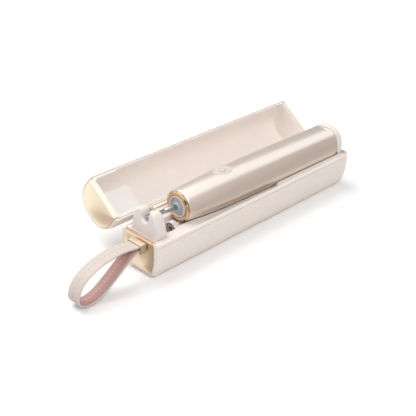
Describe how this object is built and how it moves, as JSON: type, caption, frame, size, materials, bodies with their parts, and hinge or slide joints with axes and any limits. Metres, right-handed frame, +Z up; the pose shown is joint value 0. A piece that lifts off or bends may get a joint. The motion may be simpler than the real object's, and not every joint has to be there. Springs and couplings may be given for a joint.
{
  "type": "sonic toothbrush in hinged travel case",
  "caption": "Sonic toothbrush handle lying in an open leather-clad charging case with a half-round hinged lid, end caps, shaft cradle, stored brush head and wrist strap.",
  "frame": {"origin": "middle of the base's flat underside", "axes": "+X along the case away from the strap, +Y towards the hinge, +Z up"},
  "size_m": [0.2768, 0.0846, 0.0553],
  "materials": {
    "leather": "pebbled, pale pink-beige",
    "gold": "satin pale gold",
    "rose": "polished rose gold",
    "white": "smooth moulded, warm white",
    "champagne": "satin champagne",
    "panel": "soft, pale champagne",
    "mauve": "smooth mauve lining",
    "grey": "matt light grey",
    "black": "dark grey",
    "chrome": "polished",
    "steel": "plain",
    "bronze": "sintered bronze",
    "copper": "enamelled copper",
    "board": "green laminate",
    "cell": "printed sleeve, left bare",
    "bristle": "nylon"
  },
  "bodies": {
    "case_base": {"base_wrap": "leather", "base_shell": "white", "base_end_cap_strap": "gold", "base_end_cap_port": "gold", "base_tray": "white", "shaft_cradle": "white", "end_rest": "white", "charge_coil": "copper", "charge_board": "board", "port_socket": "steel", "strap_bracket": "rose", "strap_pin": "steel", "wrist_strap": "leather", "strap_lining": "mauve", "hinge_base_leaf": "rose", "hinge_pin": "steel", "base_magnet_strap": "steel", "base_magnet_port": "steel"},
    "lid": {"lid_wrap": "leather", "lid_liner": "white", "lid_end_cap_strap": "gold", "lid_end_cap_port": "gold", "hinge_lid_leaf": "rose", "lid_magnet_strap": "steel", "lid_magnet_port": "steel"},
    "handle": {"handle_housing": "champagne", "nose_ring": "rose", "nose_collar": "white", "shaft_seal": "grey", "motor_frame": "steel", "stator_core": "steel", "coil_front": "copper", "coil_rear": "copper", "front_bearing": "bronze", "rear_bearing": "bronze", "battery": "cell", "battery_carrier": "grey", "main_board": "board", "button_switch": "black", "button_panel": "panel", "handle_charge_coil": "copper", "end_cap": "champagne", "end_cap_seal": "grey"},
    "drive": {"drive_shaft": "chrome", "rotor": "grey"},
    "button": {"power_button": "panel"},
    "brush_head": {"brush_neck": "white", "brush_insert": "black", "brush_bristles": "bristle"}
  },
  "joints": [
    {"name": "lid_hinge", "type": "hinge", "parent": "case_base", "child": "lid", "pos_m": [0, 0.0222, 0.03023], "axis": [1, 0, 0], "range_deg": [0, 142]},
    {"name": "handle_lift", "type": "slide", "parent": "case_base", "child": "handle", "axis": [0, 0, 1], "range_m": [0, 0.09]},
    {"name": "brush_lift", "type": "slide", "parent": "case_base", "child": "brush_head", "axis": [0, 0, 1], "range_m": [0, 0.054]},
    {"name": "drive_oscillation", "type": "hinge", "parent": "handle", "child": "drive", "pos_m": [-0.0706, 0, 0.03933], "axis": [0.9962, 0, -0.0872], "range_deg": [-5, 5], "stiffness_Nm_per_rad": 0.02},
    {"name": "button_press", "type": "slide", "parent": "handle", "child": "button", "axis": [-0.0175, 0, -0.9998], "range_m": [0, 0.0006], "stiffness_N_per_m": 1500}
  ],
  "couplings": [
    {"joint": "brush_lift", "follows": "handle_lift", "ratio": 0.6}
  ]
}
